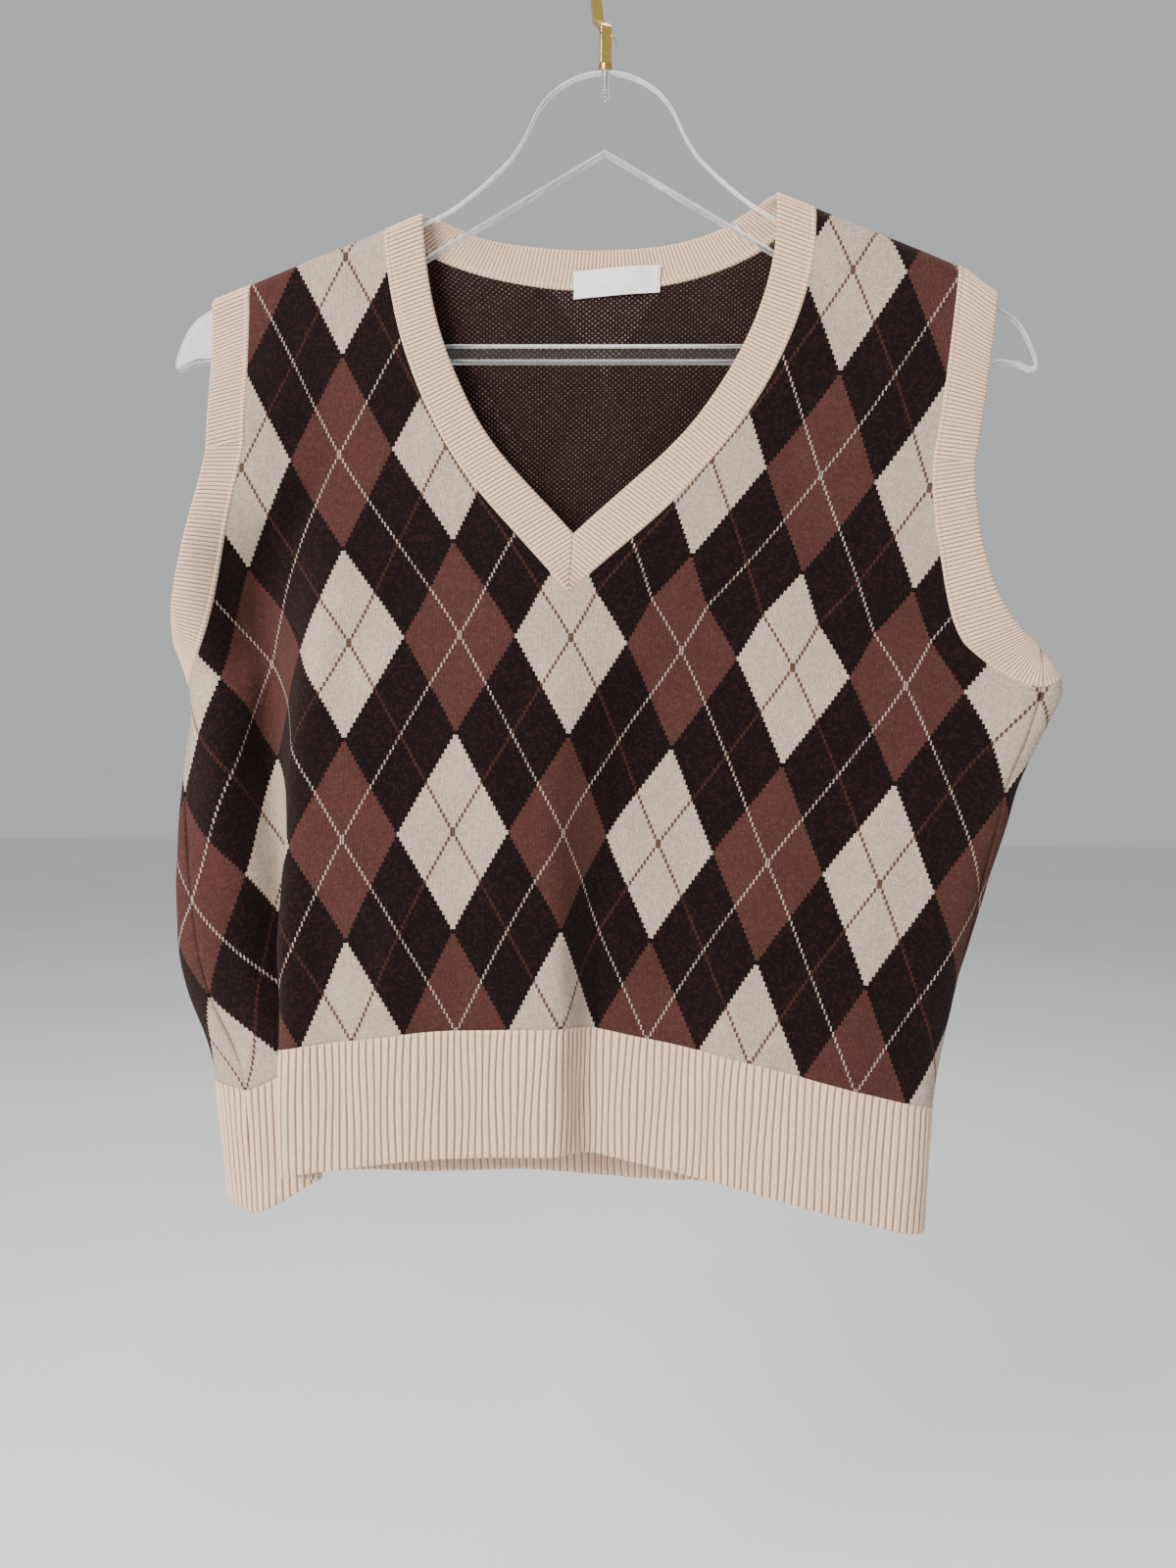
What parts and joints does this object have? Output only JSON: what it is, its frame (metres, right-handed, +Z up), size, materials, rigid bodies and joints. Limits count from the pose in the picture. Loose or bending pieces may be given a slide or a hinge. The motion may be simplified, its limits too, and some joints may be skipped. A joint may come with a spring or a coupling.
{
  "type": "knitted sweater vest on a clothes hanger",
  "caption": "Sleeveless V-neck knitted pullover with an argyle pattern and ribbed hem, neck and armholes, hanging on a clear clothes hanger with a metal hook.",
  "frame": {"origin": "inner crown of the hanger's hook, where the hook rests on a rail", "axes": "+X to the viewer's right across the vest, +Y from the vest's front to its back, +Z up"},
  "size_m": [0.4541, 0.0734, 0.6587],
  "materials": {
    "argyle_knit": "knitted argyle of brown, oatmeal and plum diamonds, matt",
    "rib_knit": "cream rib knit, matt",
    "label_satin": "white satin tape",
    "clear_acrylic": "clear, polished",
    "polished_brass": "polished",
    "screw_steel": "plain machined"
  },
  "bodies": {
    "root": {"front_panel": "argyle_knit", "back_panel": "argyle_knit", "hem_rib_front": "rib_knit", "hem_rib_back": "rib_knit", "neckband": "rib_knit", "armband_left": "rib_knit", "armband_right": "rib_knit", "neck_label": "label_satin", "hanger_body": "clear_acrylic", "hook": "polished_brass", "ferrule": "polished_brass", "screw": "screw_steel"}
  },
  "joints": []
}
